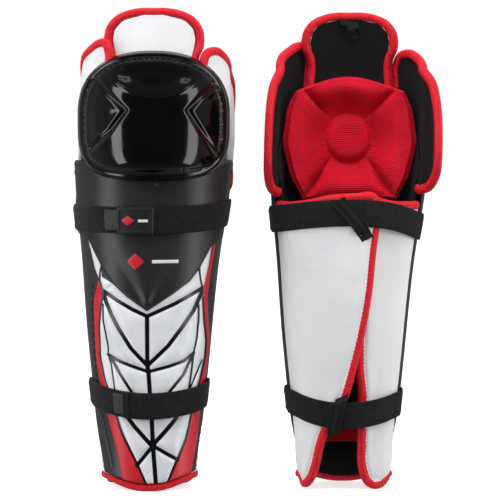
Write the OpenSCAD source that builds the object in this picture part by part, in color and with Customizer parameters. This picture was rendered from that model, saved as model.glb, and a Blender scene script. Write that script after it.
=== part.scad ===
/* [Guard size] */
// Height of the top edge of the calf flaps at their sides
calf_h = 287; // [284:1:289]
// Height of the top edge of the shin shell at its sides
shell_h = 328; // [326:1:330]
// Height of one guard, floor to the top of the thigh flap
guard_h = 477; // [470:1:480]
// How far the knee sits sideways of the ankle, because a leg isn't straight
knee_lean = 7; // [0:1:10]
// Half the distance between the two ankles of the pair
pair_half_gap = 97.5; // [97:0.5:130]
// How far the bottom rim rises between its front and back contact points
rim_arch = 9; // [0:1:12]

/* [Layers] */
// Wall of the hard shin shell
shell_t = 2.6; // [2:0.1:2.8]
// Foam between the shell and the liner
foam_t = 6.2; // [4:0.1:6.4]
// Thickness of the padded liner
liner_t = 3.8; // [3:0.1:4]
// Thickness of a calf flap
flap_t = 6.6; // [5:0.1:7]
// Wall of the knee cap
cap_t = 3; // [2.4:0.1:3.2]
// Radius of the rolled fabric binding
binding_r = 4; // [3.4:0.1:4.2]

/* [Straps] */
// Width of the elastic straps
strap_w = 26; // [20:1:27]
// Thickness of the webbing
strap_t = 1.7; // [1.4:0.1:1.8]
// Height of the middle of the upper strap
upper_strap_z = 270; // [260:1:270]
// Height of the middle of the lower strap
lower_strap_z = 92; // [80:1:100]

/* [Knee] */
// Height of the knee cap's middle
cap_z = 372; // [371:1:374]
// Half the knee cap's width
cap_half_w = 75; // [74:1:76]
// Half the knee cap's height
cap_half_h = 63; // [61:1:64]
// How far the dome stands proud of its rim
cap_dome = 24; // [20:1:28]

/* [Hidden] */
PIECES = ["shin_shell", "shin_foam", "shin_liner", "ankle_band", "rim_binding", "strap_rivets", "loop_patches",
    "calf_flap", "calf_flap_binding", "calf_straps", "strap_keepers", "under_flap", "under_flap_binding",
    "upper_strap_end", "upper_strap_badge", "upper_strap_tab", "lower_strap_end", "lower_strap_tab",
    "knee_cap", "knee_foam", "knee_pad", "knee_pad_button", "knee_panels",
    "thigh_flap", "thigh_flap_binding", "thigh_flap_tab",
    "inner_wing", "inner_wing_binding", "outer_wing", "outer_wing_binding"];

black = [0.06, 0.06, 0.07];
charcoal = [0.17, 0.17, 0.18];
red = [0.82, 0.1, 0.14];
white = [0.92, 0.92, 0.93];

gap = 0.3;
// The pair's box is centred by setting the ankles this far to the -X side
pair_shift = -9.25;
// Half width, front depth and back depth of the shell's outside, each against height
HALF_W = [[0, 50], [60, 52], [140, 60.5], [236, 68.5], [284, 75.5], [345, 80.5], [400, 79], [480, 70]];
FRONT_D = [[0, 42], [60, 47], [130, 54], [200, 61], [260, 67], [310, 71], [350, 72], [400, 71], [480, 66]];
BACK_D = [[0, 44], [60, 49], [130, 57], [200, 64], [260, 66], [310, 63], [350, 60], [480, 56]];
lean_from = 150;
lean_to = 440;
shell_angle = 95;
hinge_angle = 97;
flap_out = -3.6;                             // outer face of the flaps, measured from the shell's outside
liner_out = -shell_t - foam_t - 2 * gap;     // outer face of the liner
under_drop = flap_t + 1.3;                   // how far the under flap tucks beneath the main flap
// Free edge of each calf flap, as an angle round the leg against height
MAIN_EDGE = [[0, -122], [28, -139], [58, -150], [73, -164], [98, -179], [138, -191], [188, -200], [300, -204]];
UNDER_EDGE = [[0, 138], [28, 152], [100, 156], [130, 162], [300, 166]];
// Back edge of a knee wing and its height, and the top edge of the panel in front of it
WING_EDGE = [[300, 109], [312, 118], [340, 124], [370, 124], [400, 115], [420, 101]];
INNER_PANEL_TOP = [[46, 441], [52, 447], [60, 443], [78, 434], [97, 422]];
OUTER_PANEL_TOP = [[46, 430], [54, 439], [62, 440], [78, 431], [97, 420]];
// Half width of the knee pad and of the thigh flap against height
PAD_W = [[290, 46], [310, 58], [345, 67], [380, 62], [405, 49], [414, 38]];
PAD_DEPTH = [[290, 46], [320, 53], [350, 59], [380, 61], [414, 55]];
THIGH_W = [[419, 36], [430, 37], [446, 40], [456, 38], [464, 31], [468, 22]];
// How far each wing stands open at rest: inner and outer wing of the right guard, then of the left guard
RIGHT_FLARE = [6, 30];
LEFT_FLARE = [42, 50];

function smooth(x) = let (t = min(1, max(0, x))) t * t * (3 - 2 * t);
function mix(a, b, t) = a + (b - a) * t;
function unit(v) = v / norm(v);
function lean(z) = knee_lean * smooth((z - lean_from) / (lean_to - lean_from));
// A point on the leg-shaped surface: angle 0 is the front, 90 the +X side, 180 the back
function leg(angle, z, out) =
    let (a = lookup(z, HALF_W) + out,
         d = lookup(z, cos(angle) > 0 ? FRONT_D : BACK_D) + out)
    [lean(z) + a * sin(angle), -d * cos(angle), z];
// Height of the bottom edge: on the floor at the front and at the flaps' corners, arched at the sides
function rim(angle) = let (g = abs(angle))
    rim_arch * smooth((g - 25) / 35) * (1 - smooth((g - 100) / 18));
function calf_top(angle) = calf_h + 9 * smooth((abs(angle) - 125) / 55);
function from_axis(p) = unit([p[0] - lean(p[2]), p[1], 0]);

// A closed sheet between two surfaces, each a function of u and v from 0 to 1
module sheet(nu, nv, outer, inner) {
    n = (nu + 1) * (nv + 1);
    outside = [for (j = [0:nv]) for (i = [0:nu]) outer(i / nu, j / nv)];
    inside = [for (j = [0:nv]) for (i = [0:nu]) inner(i / nu, j / nv)];
    id = function (s, i, j) s * n + j * (nu + 1) + i;
    faces = [
        for (j = [0:nv - 1]) for (i = [0:nu - 1]) each [
            [id(0, i, j), id(0, i, j + 1), id(0, i + 1, j + 1)],
            [id(0, i, j), id(0, i + 1, j + 1), id(0, i + 1, j)],
            [id(1, i, j), id(1, i + 1, j + 1), id(1, i, j + 1)],
            [id(1, i, j), id(1, i + 1, j), id(1, i + 1, j + 1)]],
        for (i = [0:nu - 1]) each [
            [id(0, i, 0), id(0, i + 1, 0), id(1, i + 1, 0)],
            [id(0, i, 0), id(1, i + 1, 0), id(1, i, 0)],
            [id(0, i, nv), id(1, i + 1, nv), id(0, i + 1, nv)],
            [id(0, i, nv), id(1, i, nv), id(1, i + 1, nv)]],
        for (j = [0:nv - 1]) each [
            [id(0, 0, j), id(1, 0, j + 1), id(0, 0, j + 1)],
            [id(0, 0, j), id(1, 0, j), id(1, 0, j + 1)],
            [id(0, nu, j), id(0, nu, j + 1), id(1, nu, j + 1)],
            [id(0, nu, j), id(1, nu, j + 1), id(1, nu, j)]]];
    polyhedron(concat(outside, inside), faces);
}
// A closed tube along points; side() gives a direction that is never along the tube
flat_r = binding_r / cos(22.5);              // so that the lowest facet of a tube lies on the floor
module tube(points, side, r_across = flat_r, r_out = binding_r, sides = 8) {
    last = len(points) - 1;
    rings = [for (k = [0:last]) let (
        along = unit(points[min(last, k + 1)] - points[max(0, k - 1)]),
        across = unit(cross(along, side(points[k]))),
        out = cross(across, along))
        for (s = [0:sides - 1]) let (g = 360 * (s + 0.5) / sides)
            points[k] + r_across * cos(g) * across + r_out * sin(g) * out];
    faces = [
        [for (s = [sides - 1:-1:0]) s],
        for (k = [0:last - 1]) for (s = [0:sides - 1]) let (n = (s + 1) % sides, at = k * sides) each [
            [at + s, at + n, at + sides + n], [at + s, at + sides + n, at + sides + s]],
        [for (s = [0:sides - 1]) last * sides + s]];
    polyhedron(rings, faces);
}
// A band on the leg surface between two angles and two heights, from low() to high() out of the surface
module band(from, to, bottom, top, low, high, nu, nv = 1) {
    at = function (u, v, out) leg(mix(from, to, u), mix(bottom, top, v), out);
    sheet(nu, nv, function (u, v) at(u, v, high(u)), function (u, v) at(u, v, low(u)));
}

// ---- the shin: hard shell, foam, liner and what is fixed to them ----
function shell_bottom(angle) = rim(angle) + 2 * binding_r + 1;
function shell_top(angle) = shell_h - 10 + 10 * smooth((abs(angle) - 30) / 40);
module shin_layer(angle, nu, nv, bottom, top, out, thick) {
    at = function (u, v, t) let (g = mix(-angle, angle, u)) leg(g, mix(bottom(g), top(g), v), t);
    sheet(nu, nv, function (u, v) at(u, v, out), function (u, v) at(u, v, out - thick));
}
module shin_shell()
    color(charcoal) shin_layer(shell_angle, 20, 13, function (g) shell_bottom(g), function (g) shell_top(g), 0, shell_t);
module shin_foam()
    color(charcoal) shin_layer(shell_angle - 5, 14, 9, function (g) shell_bottom(g) + 3,
        function (g) calf_h - 2, -shell_t - 2 * gap, foam_t - 2 * gap);
module shin_liner()
    color(black) shin_layer(shell_angle - 1, 16, 9, function (g) rim(g) + 2 * binding_r + 0.6,
        function (g) calf_h - 1, liner_out, liner_t);
module ankle_band() {
    out = liner_out - liner_t - gap;
    color(red) band(-62, 62, 42, 70, function (u) out - 3, function (u) out, 10);
}
module rim_binding() {
    out = liner_out + 2;
    color(red) tube([for (g = [-88:11:88]) leg(g, rim(g) + binding_r, out)],
        function (p) from_axis(p), flat_r, 5.5);
}
module strap_rivets()
    color(black) for (z = [upper_strap_z, lower_strap_z]) for (up = [-8, 8])
        translate(leg(-89, z + up, 0.2)) rotate([0, -90, 0]) cylinder(r = 3, h = 1.2, $fn = 24);
module loop_patches()
    color(black) for (z = [upper_strap_z, lower_strap_z])
        band(-84, -14, z - strap_w / 2, z + strap_w / 2, function (u) gap, function (u) gap + 1.4, 8);

// ---- the two calf flaps, with a rolled binding round their free edges ----
function bound_edge(edge, bottoms, tops) = concat(
    [for (g = bottoms) [g, rim(g) + binding_r]],
    [for (z = [10, 22, 40, 58, 73, 90, 110, 138, 170, 205, 240, 270]) [lookup(z, edge), z]],
    [for (g = tops) [g, calf_top(g) - binding_r]]);
function main_depth(angle) = flap_out;
function under_depth(angle) = flap_out - under_drop * smooth((angle - 104) / 40);
module flap(edge, start, toward, depth, nu) {
    at = function (u, v, t) let (
        g0 = mix(start, lookup(0, edge) + toward, u),
        g1 = mix(start, lookup(calf_h, edge) + toward, u),
        z = mix(rim(g0) + 2 * binding_r + gap, calf_top(g1) - 2 * binding_r - gap, v),
        g = mix(start, lookup(z, edge) + toward, u))
        leg(g, z, depth(g) - t);
    way = toward > 0 ? 1 : 0;
    sheet(nu, 11, function (u, v) at(abs(way - u), v, 0), function (u, v) at(abs(way - u), v, flap_t));
}
module calf_flap()
    color(white) flap(MAIN_EDGE, -hinge_angle - 0.6, 7.8, function (g) main_depth(g), 12);
module under_flap()
    color(white) flap(UNDER_EDGE, hinge_angle + 0.6, -9.5, function (g) under_depth(g), 8);
module calf_flap_binding()
    color(red) tube([for (p = bound_edge(MAIN_EDGE, [-99, -108, -117], [-201, -190, -175, -160, -145, -130, -115, -99]))
        leg(p[0], p[1], main_depth(p[0]) - flap_t / 2)], function (p) from_axis(p));
module under_flap_binding()
    color(red) tube([for (p = bound_edge(UNDER_EDGE, [99, 108, 120, 133], [162, 150, 135, 120, 108, 99]))
        leg(p[0], p[1], under_depth(p[0]) - flap_t / 2)], function (p) from_axis(p));

// ---- straps: the part round the calf, and the ends that peel off the front ----
strap_from = -hinge_angle - 4;
strap_to = -360 + hinge_angle + 1;
function strap_low(u) = mix(flap_out + 0.9, 0.9, smooth(1 - u));
module calf_straps()
    color(black) for (z = [upper_strap_z, lower_strap_z])
        band(strap_to, strap_from, z - strap_w / 2, z + strap_w / 2,
            function (u) strap_low(u), function (u) strap_low(u) + strap_t, 14);
// A keeper is a loop of tape that crosses a strap on the slant and is sewn to the flap above and below it
module keeper(z, from, to, half_w, sewn_above) {
    sewn_below = 9;
    at = function (u, v, t) let (
        g = mix(from, to, v) + mix(-half_w, half_w, u),
        dz = mix(-strap_w / 2 - sewn_below, strap_w / 2 + sewn_above, v),
        proud = smooth((dz + strap_w / 2) / sewn_below + 1) * smooth((strap_w / 2 - dz) / sewn_above + 1))
        leg(g, z + dz, mix(flap_out + gap, 2.9, proud) + t);
    color(black) sheet(1, 10, function (u, v) at(u, v, 1.2), function (u, v) at(u, v, 0));
}
module strap_keepers() {
    keeper(upper_strap_z, -196, -172, 6, 3);
    keeper(lower_strap_z, -148, -172, 8, 9);
}
strap_end_angle = -22;
patch_top = gap + 1.4;
module strap_end(z)
    color(black) band(strap_end_angle, hinge_angle - 2, z - strap_w / 2, z + strap_w / 2,
        function (u) patch_top + gap, function (u) patch_top + gap + strap_t, 12);
module strap_tab(z)
    color(charcoal) band(strap_end_angle - 11, strap_end_angle - 0.4, z - strap_w / 2 + 3, z + strap_w / 2 - 3,
        function (u) patch_top + gap, function (u) patch_top + gap + 2.4, 2);
module upper_strap_end() strap_end(upper_strap_z);
module lower_strap_end() strap_end(lower_strap_z);
module upper_strap_tab() strap_tab(upper_strap_z);
module lower_strap_tab() strap_tab(lower_strap_z);
module upper_strap_badge() {
    out = patch_top + 2 * gap + strap_t;
    color(black) band(strap_end_angle, 3, upper_strap_z - strap_w / 2 - 1, upper_strap_z + strap_w / 2,
        function (u) out, function (u) out + 1.6, 4);
}

// ---- the knee: cap, foam, sewn pad and side panels ----
function cap_width(v) = cap_half_w * pow(1 - pow(abs(v), v > 0 ? 2.7 : 3.6), v > 0 ? 1 / 2.7 : 1 / 3.6);
// Depth of the cap's outside over x and v, its height as a share of half its height
function cap_depth(x, v, side) =
    mix(30, mix(79, 67, (v + 1) / 2), pow(max(0, 1 - pow(x / (cap_half_w + 5), 2)), 0.8))
    + cap_dome * (1 - pow(abs(side), 3)) * (1 - pow(abs(v), 3));
function cap_point(u, v, share, inset) = let (
    side = 2 * u - 1,
    high = share * sin(180 * (v - 0.5)),
    x = cap_width(high) * side,
    z = cap_z + cap_half_h * high)
    [lean(cap_z) + x * (1 - inset / cap_half_w), -cap_depth(x, high, side) + inset, z];
module knee_cap()
    color(black) sheet(14, 14, function (u, v) cap_point(u, v, 0.985, 0), function (u, v) cap_point(u, v, 0.985, cap_t));
module knee_foam() {
    at = function (u, v, inset) let (
        high = mix(-0.6, 0.84, v),
        x = 0.64 * cap_half_w * (2 * u - 1) * sqrt(1 - 0.55 * pow(max(0, high), 2)))
        [lean(cap_z) + x, -cap_depth(x, high, x / cap_width(high)) + inset, cap_z + cap_half_h * high];
    color(charcoal) sheet(8, 8, function (u, v) at(u, v, cap_t + 3), function (u, v) at(u, v, cap_t + 12));
}
function pad_point(u, v, thick) = let (
    z = mix(290, 414, v),
    w = lookup(z, PAD_W),
    x = w * (2 * u - 1) * (1 - thick / 120),
    deep = mix(10, lookup(z, PAD_DEPTH), pow(max(0, 1 - pow(x / (w + 4), 2)), 0.6)))
    [lean(cap_z) + x, -deep + thick, z];
module knee_pad()
    color(red) sheet(12, 10, function (u, v) pad_point(u, v, 0), function (u, v) pad_point(u, v, 9));
module knee_pad_button()
    color(red) translate([lean(cap_z), -49.5, 350]) rotate([-90, 0, 0]) cylinder(r = 22, h = 7, $fn = 48);
// The thin liner outside the knee pad: wing_out is its outer face, measured from the shell's outside
wing_out = -3.4;
wing_t = 3.6;
function wing_point(angle, z, t) = let (p = leg(angle, z, wing_out - t))
    cos(angle) > 0 ? [p[0], -(71 - t) * cos(angle), z] : p;
function mirrored(p, side) = [lean(p[2]) + side * (p[0] - lean(p[2])), p[1], p[2]];
panel_from = 46;
module panel(side) {
    tops = side > 0 ? OUTER_PANEL_TOP : INNER_PANEL_TOP;
    at = function (u, v, t) let (
        g = mix(panel_from, hinge_angle - 0.6, u),
        bottom = mix(345, 306, smooth((g - 67) / 28)))
        mirrored(wing_point(g, mix(bottom, lookup(g, tops) - 2 * binding_r, v), t), side);
    way = side > 0 ? 0 : 1;
    sheet(7, 5, function (u, v) at(abs(way - u), v, 0), function (u, v) at(abs(way - u), v, wing_t));
    tube([for (g = [46, 49, 52, 56, 60, 66, 72, 78, 87, 96])
        mirrored(wing_point(g, lookup(g, tops) - binding_r, wing_t / 2), side)],
        function (p) from_axis(p), binding_r - gap, 3.4);
}
module knee_panels() color(white) for (side = [-1, 1]) panel(side);

// ---- the wings at the back of the knee, which swing about the panels' back edges ----
wing_hinge_x = (lookup(345, HALF_W) + wing_out) * sin(hinge_angle);
wing_hinge_y = 7.2;
function wing_hinge(side, z) = [lean(z) + side * wing_hinge_x, wing_hinge_y, z];
module opened(side, angle) {
    low = wing_hinge(side, 300);
    axis = wing_hinge(side, 430) - low;
    translate(low) rotate(side * -angle, axis) translate(-low) children();
}
module wing(side, flare) opened(side, flare) {
    at = function (u, v, t) let (
        z = mix(302 + 2 * binding_r + 2, 422 - 2 * binding_r - 5, v),
        g = mix(hinge_angle + 0.6, lookup(z, WING_EDGE) - 6.5, u))
        mirrored(wing_point(g, z, t), side);
    way = side > 0 ? 0 : 1;
    color(white) sheet(4, 8, function (u, v) at(abs(way - u), v, 0), function (u, v) at(abs(way - u), v, wing_t));
}
module wing_binding(side, flare) opened(side, flare)
    color(red) tube([for (e = concat([[302 + binding_r, 99], [302 + binding_r, 105]],
            [for (z = [312, 324, 338, 352, 366, 380, 394, 404, 412]) [z, lookup(z, WING_EDGE)]], [[418, 99]]))
        mirrored(wing_point(e[1], e[0], wing_t / 2), side)],
        function (p) from_axis(p), binding_r - gap, 3.4);

// ---- the thigh flap above the knee cap ----
function thigh_point(x, z, t) = [lean(z) + x, -(lookup(z, [[419, 58], [468, 52]]) - t) * sqrt(1 - pow(x / 82, 2)), z];
module thigh_flap()
    color(white) sheet(8, 6,
        function (u, v) let (z = mix(419, 468, v)) thigh_point(lookup(z, THIGH_W) * (2 * u - 1), z, 0),
        function (u, v) let (z = mix(419, 468, v)) thigh_point(lookup(z, THIGH_W) * (2 * u - 1), z, 7));
module thigh_flap_binding() {
    reach = binding_r + 2 * gap;
    right = [for (z = [421, 430, 438, 446, 454, 460]) [lookup(z, THIGH_W) + reach, z]];
    top = [[34.5, 467], [27, 471], [14, guard_h - binding_r - 0.5], [0, guard_h - binding_r]];
    half = concat(right, top);
    points = concat(half, [for (k = [len(half) - 2:-1:0]) [-half[k][0], half[k][1]]]);
    color(red) tube([for (p = points) thigh_point(p[0], p[1], 3.5)], function (p) from_axis(p), binding_r, 4.4);
}
module thigh_flap_tab() {
    back = [lean(460) - 4, -43.2, 462];
    color(black) translate(back) rotate([8, 24, 0]) {
        translate([-5, -1.2, -12]) cube([10, 2.4, 16]);
        translate([-9, 1.5, 2]) cube([18, 3, 7]);
    }
}

// ---- the pair: the right guard faces -Y, and the left one is its mirror image and faces +Y ----
module piece(name, flare) {
    if (name == "shin_shell") shin_shell();
    if (name == "shin_foam") shin_foam();
    if (name == "shin_liner") shin_liner();
    if (name == "ankle_band") ankle_band();
    if (name == "rim_binding") rim_binding();
    if (name == "strap_rivets") strap_rivets();
    if (name == "loop_patches") loop_patches();
    if (name == "calf_flap") calf_flap();
    if (name == "calf_flap_binding") calf_flap_binding();
    if (name == "calf_straps") calf_straps();
    if (name == "strap_keepers") strap_keepers();
    if (name == "under_flap") under_flap();
    if (name == "under_flap_binding") under_flap_binding();
    if (name == "upper_strap_end") upper_strap_end();
    if (name == "upper_strap_badge") upper_strap_badge();
    if (name == "upper_strap_tab") upper_strap_tab();
    if (name == "lower_strap_end") lower_strap_end();
    if (name == "lower_strap_tab") lower_strap_tab();
    if (name == "knee_cap") knee_cap();
    if (name == "knee_foam") knee_foam();
    if (name == "knee_pad") knee_pad();
    if (name == "knee_pad_button") knee_pad_button();
    if (name == "knee_panels") knee_panels();
    if (name == "thigh_flap") thigh_flap();
    if (name == "thigh_flap_binding") thigh_flap_binding();
    if (name == "thigh_flap_tab") thigh_flap_tab();
    if (name == "inner_wing") wing(-1, flare[0]);
    if (name == "inner_wing_binding") wing_binding(-1, flare[0]);
    if (name == "outer_wing") wing(1, flare[1]);
    if (name == "outer_wing_binding") wing_binding(1, flare[1]);
}
for (name = PIECES) {
    translate([pair_shift - pair_half_gap, 0, 0]) piece(name, RIGHT_FLARE);
    translate([pair_shift + pair_half_gap, 0, 0]) mirror([0, 1, 0]) piece(name, LEFT_FLARE);
}
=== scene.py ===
"""The looks of a pair of hockey shin guards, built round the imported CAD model.

Lengths here are millimetres in one guard's own frame: +X is the outer side of the leg, -Y its front, and
the guard stands on z = 0. place() puts a right guard into the row frame, or a left one mirrored in Y. The
camera, the lights and the floor are in metres in the row frame.
"""
import math

import bpy
import numpy as np
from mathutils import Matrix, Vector


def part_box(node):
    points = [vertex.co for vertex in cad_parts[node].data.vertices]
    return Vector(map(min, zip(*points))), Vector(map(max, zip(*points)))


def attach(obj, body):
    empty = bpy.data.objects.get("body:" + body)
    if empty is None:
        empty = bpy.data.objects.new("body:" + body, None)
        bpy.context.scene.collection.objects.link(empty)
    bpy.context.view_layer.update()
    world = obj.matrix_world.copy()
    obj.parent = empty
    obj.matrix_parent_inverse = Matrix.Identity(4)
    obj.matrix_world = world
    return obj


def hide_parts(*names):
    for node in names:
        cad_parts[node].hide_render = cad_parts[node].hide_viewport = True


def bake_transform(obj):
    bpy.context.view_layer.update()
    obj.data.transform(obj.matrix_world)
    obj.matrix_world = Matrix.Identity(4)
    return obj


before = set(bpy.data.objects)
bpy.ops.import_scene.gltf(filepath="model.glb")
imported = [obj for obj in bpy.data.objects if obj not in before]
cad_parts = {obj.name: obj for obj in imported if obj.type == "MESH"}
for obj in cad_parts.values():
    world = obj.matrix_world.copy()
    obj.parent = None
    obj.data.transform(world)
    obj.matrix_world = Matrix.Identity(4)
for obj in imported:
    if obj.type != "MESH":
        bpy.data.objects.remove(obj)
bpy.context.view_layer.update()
SIDES = ("right", "left")


def middle_x(node):
    low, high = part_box(node)
    return 500 * (low.x + high.x)


AXIS_X = {side: middle_x(side + "_rim_binding") for side in SIDES}

# ---------------------------------------------------------------- the leg shape, as in the CAD model
HALF_W = ((0, 50), (60, 52), (140, 60.5), (236, 68.5), (284, 75.5), (345, 80.5), (400, 79), (480, 70))
FRONT_D = ((0, 42), (60, 47), (130, 54), (200, 61), (260, 67), (310, 71), (350, 72), (400, 71), (480, 66))
BACK_D = ((0, 44), (60, 49), (130, 57), (200, 64), (260, 66), (310, 63), (350, 60), (480, 56))
MAIN_EDGE = ((0, -122), (28, -139), (58, -150), (73, -164), (98, -179), (138, -191), (188, -200), (300, -204))
UNDER_EDGE = ((0, 138), (28, 152), (100, 156), (130, 162), (300, 166))
PANEL_TOP = {
    "inner": ((37, 437), (43, 447), (52, 446), (62, 441), (78, 434), (97, 422)),
    "outer": ((41, 427), (48, 437), (56, 440), (64, 438), (78, 431), (97, 420)),
}
PAD_W = ((290, 46), (310, 58), (345, 67), (380, 62), (405, 49), (414, 38))
PAD_DEPTH = ((290, 46), (320, 53), (350, 59), (380, 61), (414, 55))
THIGH_W = ((419, 36), (430, 37), (446, 40), (456, 38), (464, 31), (468, 22))
FLARE = {("right", "inner"): 6, ("right", "outer"): 30, ("left", "inner"): 42, ("left", "outer"): 50}
CALF_H, SHELL_H = 287, 328
SHELL_T, FOAM_T, LINER_T, FLAP_T = 2.6, 6.2, 3.8, 6.6
BINDING_R = 4.0
STRAP_W = 26
UPPER_STRAP, LOWER_STRAP = 270, 92
CAP_Z, CAP_HALF_W, CAP_HALF_H, CAP_DOME = 372, 75, 63, 24
HINGE = 97
FLAP_OUT = -3.6
LINER_OUT = -SHELL_T - FOAM_T - 0.6
WING_OUT, WING_T = -3.4, 3.6


def smooth(x):
    x = np.clip(x, 0, 1)
    return x * x * (3 - 2 * x)


def mix(a, b, t):
    return a + (b - a) * t


def lookup(x, table):
    """The table's value at x, with its corners rounded over a few units so that gloss shows no kinks."""
    xs, ys = np.array(table, float).T
    spread = 0.05 * (xs[-1] - xs[0])
    return sum(np.interp(np.asarray(x, float) + k * spread, xs, ys) for k in (-1, -0.5, 0, 0.5, 1)) / 5


def lean(z):
    return 7 * smooth((np.asarray(z, float) - 150) / 290)


def leg(angle, z, out):
    """A point on the leg surface: angle 0 is the front, 90 the outer side, 180 the back."""
    angle, z, out = np.broadcast_arrays(np.asarray(angle, float), z, out)
    g = np.radians(angle)
    depth = np.where(np.cos(g) > 0, lookup(z, FRONT_D), lookup(z, BACK_D)) + out
    return np.stack([lean(z) + (lookup(z, HALF_W) + out) * np.sin(g), -depth * np.cos(g), z], -1)


def rim(angle):
    g = np.abs(angle)
    return 9 * smooth((g - 5) / 65) * (1 - smooth((g - 100) / 18))


def calf_top(angle):
    return CALF_H + 9 * smooth((np.abs(angle) - 125) / 55)


def main_depth(angle):
    return FLAP_OUT + 0 * np.asarray(angle, float)


def under_depth(angle):
    return FLAP_OUT - (FLAP_T + 1.3) * smooth((np.asarray(angle, float) - 104) / 40)


def place(points, side):
    p = np.array(points, float).reshape(-1, 3)
    if side == "left":
        p[:, 1] *= -1
    p[:, 0] += AXIS_X[side]
    return p * 0.001


def spot(point, side):
    """One point in the row frame."""
    return place(point, side)[0]


# ---------------------------------------------------------------- mesh building
def quads(index):
    """Quads over a grid of point numbers."""
    a = index[:-1, :-1], index[:-1, 1:], index[1:, 1:], index[1:, :-1]
    return np.stack(a, -1).reshape(-1, 4)


def volume(points, faces):
    a, b, c, d = (points[faces[:, k]] for k in range(4))
    return float(np.sum(np.cross(a, b) * c) + np.sum(np.cross(a, c) * d)) / 6


def lengths(grid, axis):
    """Distance along each of the grid's lines, in mm."""
    steps = np.linalg.norm(np.diff(grid, axis=axis), axis=-1)
    return np.concatenate([np.zeros_like(np.take(steps, [0], axis)), np.cumsum(steps, axis)], axis)


def build(name, side, points, faces, materials, cloth, fields=None, slots=None):
    """A smooth mesh object in the row frame; cloth is each point's place on the material, in mm."""
    world = place(points, side)
    faces = np.asarray(faces)
    if volume(world, faces) < 0:
        faces = faces[:, ::-1]
    mesh = bpy.data.meshes.new(f"{side}_{name}")
    mesh.from_pydata(world.tolist(), [], faces.tolist())
    layer = mesh.attributes.new("cloth", "FLOAT_VECTOR", "POINT")
    layer.data.foreach_set("vector", np.asarray(cloth, np.float32).ravel())
    for key, values in (fields or {}).items():
        layer = mesh.attributes.new(key, "FLOAT", "POINT")
        layer.data.foreach_set("value", np.asarray(values, np.float32).ravel())
    for material in materials:
        mesh.materials.append(material)
    if slots is not None:
        mesh.polygons.foreach_set("material_index", np.asarray(slots, np.int32))
    mesh.polygons.foreach_set("use_smooth", np.ones(len(mesh.polygons), bool))
    mesh.update()
    obj = bpy.data.objects.new(f"{side}_{name}", mesh)
    bpy.context.scene.collection.objects.link(obj)
    return obj


def sheet(name, side, outer, inner, materials, fields=None, round_edge=0.0):
    """A closed sheet between two grids of points. With two materials the inner face has the second.

    round_edge pulls the rim's middle out by that much, so that a thick sheet has a rounded edge."""
    nv, nu = outer.shape[:2]
    n = nv * nu
    index = np.arange(n).reshape(nv, nu)
    loop = np.concatenate([index[0, :], index[1:, -1], index[-1, -2::-1], index[-2:0:-1, 0]])
    flat_out, flat_in = outer.reshape(-1, 3), inner.reshape(-1, 3)
    edge = (flat_out[loop] + flat_in[loop]) / 2
    inward = np.zeros_like(edge)
    for k, at in enumerate(loop):
        row, column = divmod(at, nu)
        near = outer[min(max(row, 1), nv - 2), min(max(column, 1), nu - 2)]
        away = edge[k] - near
        inward[k] = away / max(np.linalg.norm(away), 1e-6)
    points = np.concatenate([flat_out, flat_in, edge + round_edge * inward])
    ring = 2 * n + np.arange(len(loop))
    following = np.roll(np.arange(len(loop)), -1)
    rims = [
        np.stack([loop, loop[following], ring[following], ring], -1)[:, ::-1],
        np.stack([ring, ring[following], loop[following] + n, loop + n], -1)[:, ::-1],
    ]
    faces = np.concatenate([quads(index), quads(index)[:, ::-1] + n] + rims)
    along, across = lengths(outer, 1), lengths(outer, 0)
    across = np.broadcast_to(across[:, nu // 2][:, None], along.shape)
    along = along - along[:, nu // 2][:, None]
    flat = np.stack([along, across, 0 * along], -1).reshape(-1, 3)
    cloth = np.concatenate([flat, flat, flat[loop]])
    every = {}
    for key, grid in (fields or {}).items():
        values = np.asarray(grid, float).reshape(-1)
        every[key] = np.concatenate([values, values * 0 - 9, values[loop]])
    slots = np.zeros(len(faces), int)
    if len(materials) > 1:
        inner_faces = len(quads(index))
        slots[inner_faces:2 * inner_faces] = 1
    return build(name, side, points, faces, materials, cloth, every, slots)


def grid(nu, nv):
    """u runs along the rows and v up the columns, both from 0 to 1."""
    return np.meshgrid(np.linspace(0, 1, nu), np.linspace(0, 1, nv))


def resample(path, step):
    """Points a step apart along a smooth curve through path."""
    path = np.asarray(path, float)
    at = np.concatenate([[0], np.cumsum(np.linalg.norm(np.diff(path, axis=0), axis=1))])
    fine = np.linspace(0, at[-1], max(int(at[-1] / step), 4))
    ext = np.concatenate([[2 * path[0] - path[1]], path, [2 * path[-1] - path[-2]]])
    k = np.clip(np.searchsorted(at, fine, side="right") - 1, 0, len(path) - 2)
    t = ((fine - at[k]) / (at[k + 1] - at[k]))[:, None]
    a, b, c, d = ext[k], ext[k + 1], ext[k + 2], ext[k + 3]
    return 0.5 * (2 * b + (c - a) * t + (2 * a - 5 * b + 4 * c - d) * t**2 + (3 * b - a - 3 * c + d) * t**3)


def flat_curve(outline, step):
    """The two coordinates of points a step apart along a smooth curve through a flat outline."""
    curve = resample([(a, 0, b) for a, b in outline], step)
    return curve[:, 0], curve[:, 2]


def unit(v):
    return v / np.maximum(np.linalg.norm(v, axis=-1, keepdims=True), 1e-9)


STITCH_PITCH = 3.2


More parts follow.
